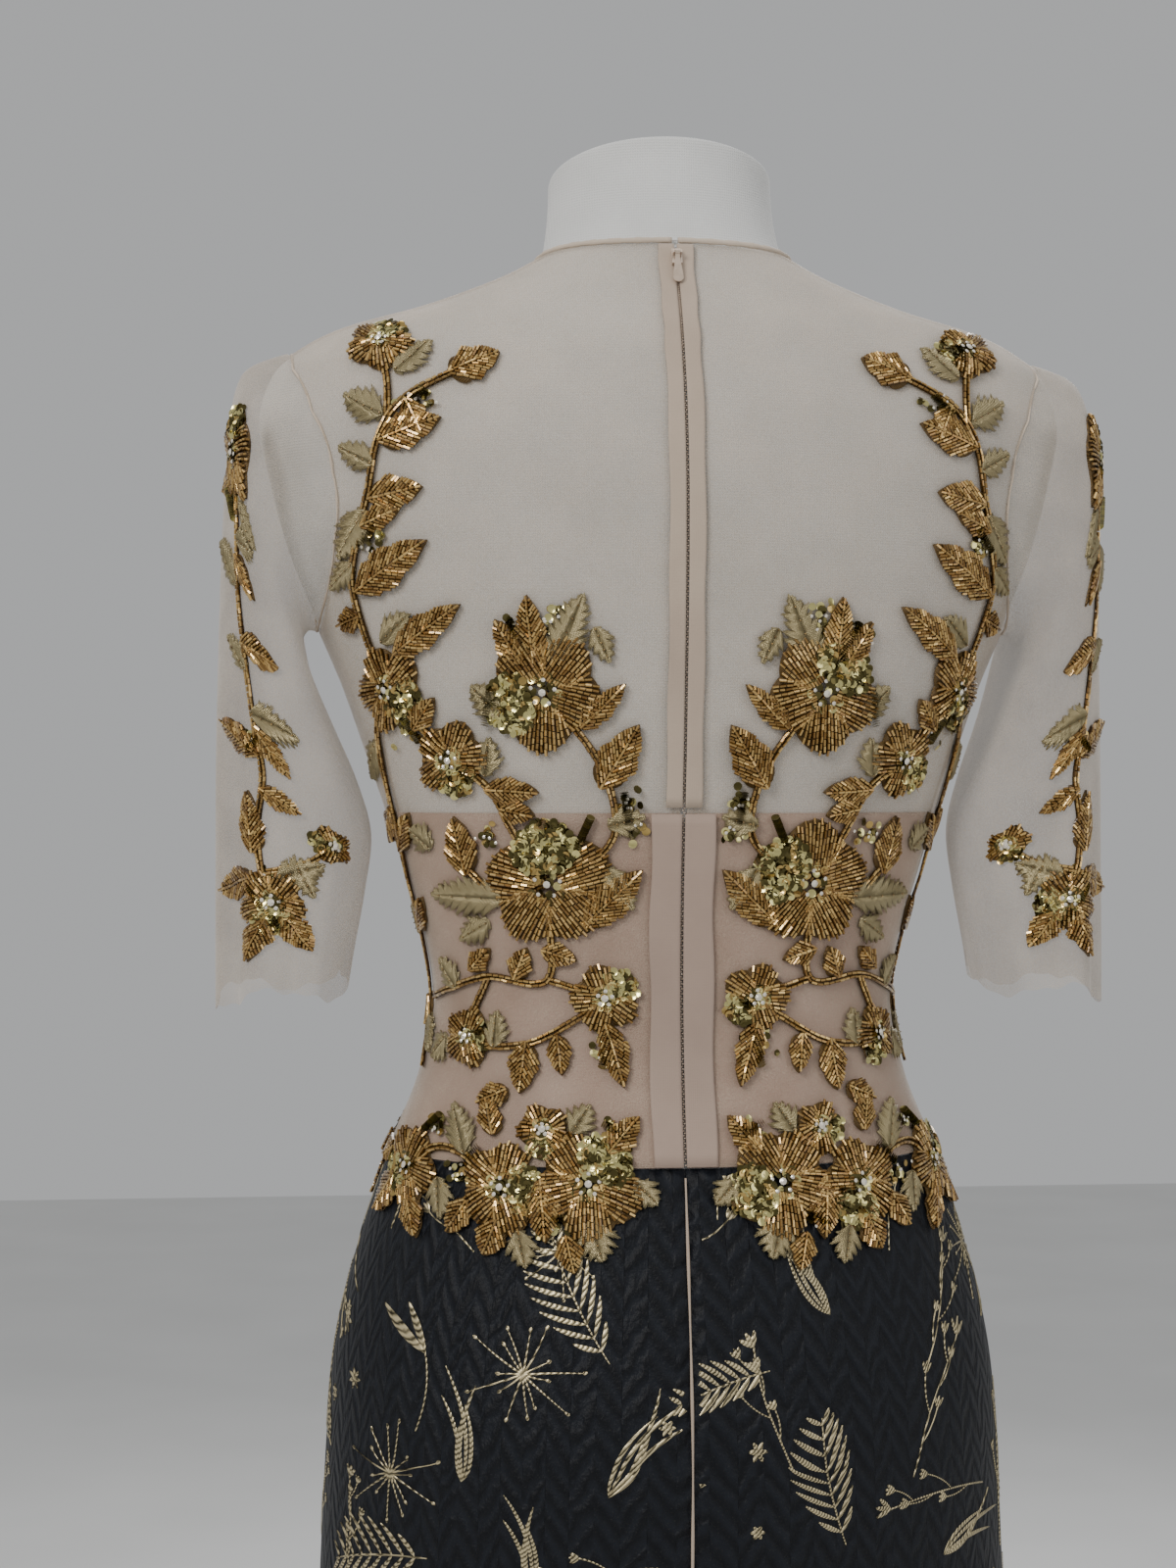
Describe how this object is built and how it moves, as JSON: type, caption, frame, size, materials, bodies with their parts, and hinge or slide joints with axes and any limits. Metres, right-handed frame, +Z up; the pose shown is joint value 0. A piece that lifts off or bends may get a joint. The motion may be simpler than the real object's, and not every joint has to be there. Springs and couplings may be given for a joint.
{
  "type": "beaded gown on a limbless dress form",
  "caption": "Long gown with a sheer beaded bodice, straight sleeves, a back zip and a dark brocade skirt, worn by a limbless dress form on a round stand.",
  "frame": {"origin": "centre of the stand's underside, on the floor", "axes": "+Z up, -Y the gown's front, +Y its zipped back, +X the wearer's left"},
  "size_m": [0.5274, 0.4602, 1.4988],
  "materials": {
    "white_jersey": "matte",
    "nude_net": "matte",
    "rose_lining": "satin",
    "dark_brocade": "satin",
    "gold_beadwork": "gloss",
    "nude_zip": "matte",
    "nude_lacquer": "satin",
    "black_steel": "satin"
  },
  "bodies": {
    "gown": {"applique_back_left": "gold_beadwork", "applique_back_right": "gold_beadwork", "applique_front_left": "gold_beadwork", "applique_front_right": "gold_beadwork", "applique_hip_back_left": "gold_beadwork", "applique_hip_back_right": "gold_beadwork", "applique_hip_front_left": "gold_beadwork", "applique_hip_front_right": "gold_beadwork", "applique_sleeve_left": "gold_beadwork", "applique_sleeve_right": "gold_beadwork", "binding_back_left": "nude_net", "binding_back_right": "nude_net", "binding_front": "nude_net", "bodice_back_left": "nude_net", "bodice_back_right": "nude_net", "bodice_front": "nude_net", "form_neck": "white_jersey", "form_torso": "white_jersey", "lining_back_left": "rose_lining", "lining_back_right": "rose_lining", "lining_front": "rose_lining", "placket_band_left": "nude_zip", "placket_band_right": "nude_zip", "skirt_back_left": "dark_brocade", "skirt_back_right": "dark_brocade", "skirt_front": "dark_brocade", "sleeve_left": "nude_net", "sleeve_right": "nude_net", "stand_base": "black_steel", "stand_flange": "black_steel", "stand_pole": "black_steel", "stand_socket": "black_steel", "zip_coil": "nude_zip", "zip_slider": "nude_lacquer", "zip_tape_left": "nude_zip", "zip_tape_right": "nude_zip"},
    "pull_tab": {"zip_pull_tab": "nude_lacquer"}
  },
  "joints": [
    {"name": "pull_tab_swing", "type": "hinge", "parent": "gown", "child": "pull_tab", "pos_m": [0, 0.06597, 1.43421], "axis": [1, 0, 0], "range_deg": [0, 150]}
  ]
}
